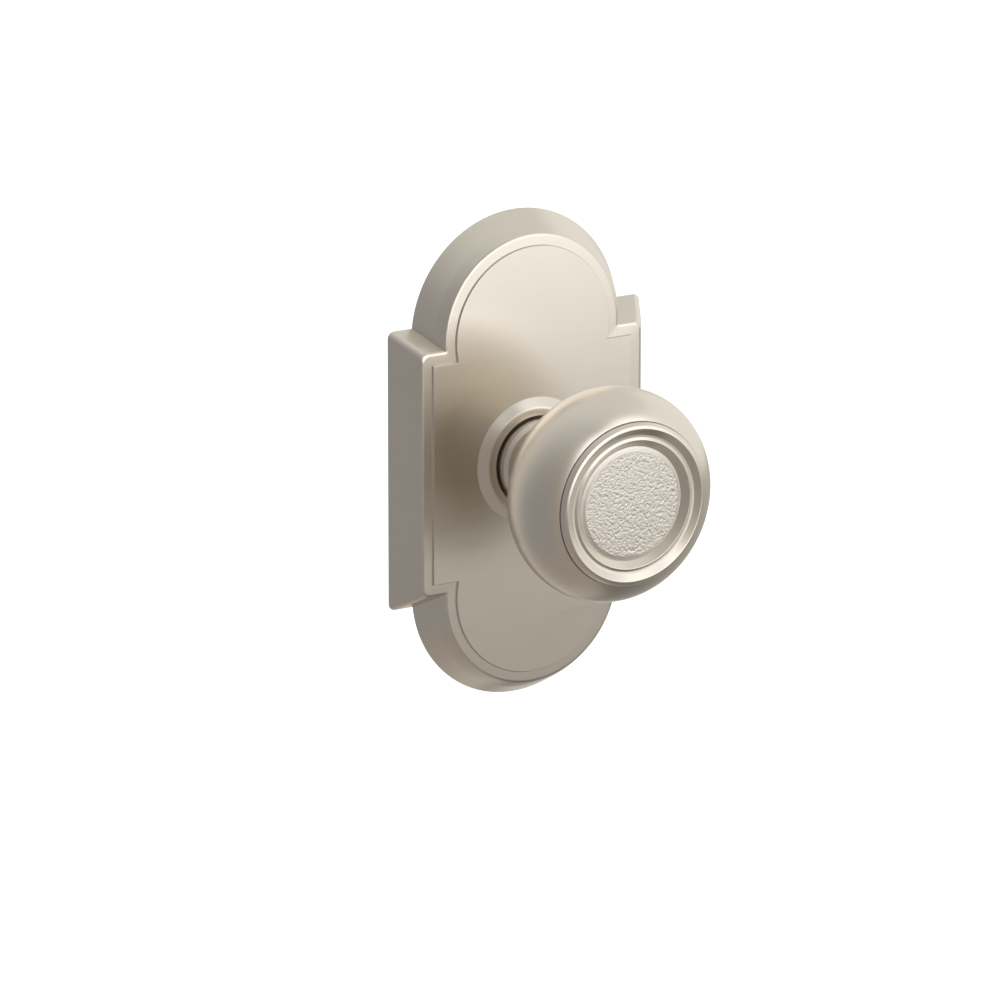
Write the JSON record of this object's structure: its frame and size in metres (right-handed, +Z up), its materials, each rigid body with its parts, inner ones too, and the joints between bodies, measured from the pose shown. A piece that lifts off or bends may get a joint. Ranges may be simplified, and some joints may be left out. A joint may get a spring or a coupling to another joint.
{
  "type": "door knob",
  "caption": "Sprung round door knob with a stepped face ring and textured disc, turning in a bevelled collar on an arched, raised-panel plate.",
  "frame": {"origin": "on the spindle axis, in the plane of the door's face", "axes": "+Y into the door along the spindle, +Z up the plate, +X right when facing the knob"},
  "size_m": [0.0762, 0.1112, 0.1302],
  "materials": {
    "satin_nickel_plate": "cast, satin nickel plated",
    "satin_nickel_collar": "satin nickel plated",
    "satin_nickel_knob": "satin nickel plated",
    "satin_nickel_ring": "satin nickel plated",
    "satin_nickel_insert": "satin nickel plated",
    "satin_nickel_shank": "satin nickel plated",
    "nylon": "natural nylon",
    "spring_steel": "bright spring steel",
    "zinc_steel": "zinc plated",
    "screw_steel": "bright zinc plated",
    "zinc_die_cast": "as die cast"
  },
  "bodies": {
    "plate": {"escutcheon_plate": "satin_nickel_plate", "collar_ring": "satin_nickel_collar", "collar_lock_ring": "zinc_steel", "neck_bush": "nylon", "mounting_plate": "zinc_steel", "mounting_plate_screws": "screw_steel", "fixing_posts": "zinc_steel", "spring_housing": "zinc_steel", "housing_screws": "screw_steel", "rear_bush": "nylon", "return_spring": "spring_steel"},
    "knob": {"knob_shell": "satin_nickel_knob", "face_ring": "satin_nickel_ring", "textured_insert": "satin_nickel_insert", "insert_backing": "zinc_steel", "shell_lock_ring": "zinc_steel", "knob_shank": "satin_nickel_shank", "thrust_washer": "zinc_steel", "spring_washer": "spring_steel", "retaining_ring": "spring_steel", "driver_hub": "zinc_die_cast", "spindle": "zinc_steel", "spindle_pin": "zinc_steel"}
  },
  "joints": [
    {"name": "knob_turn", "type": "hinge", "parent": "plate", "child": "knob", "pos_m": [0, 0, 0], "axis": [0, 1, 0], "range_deg": [-50, 50], "stiffness_Nm_per_rad": 0.5, "deforming": ["return_spring"]}
  ]
}
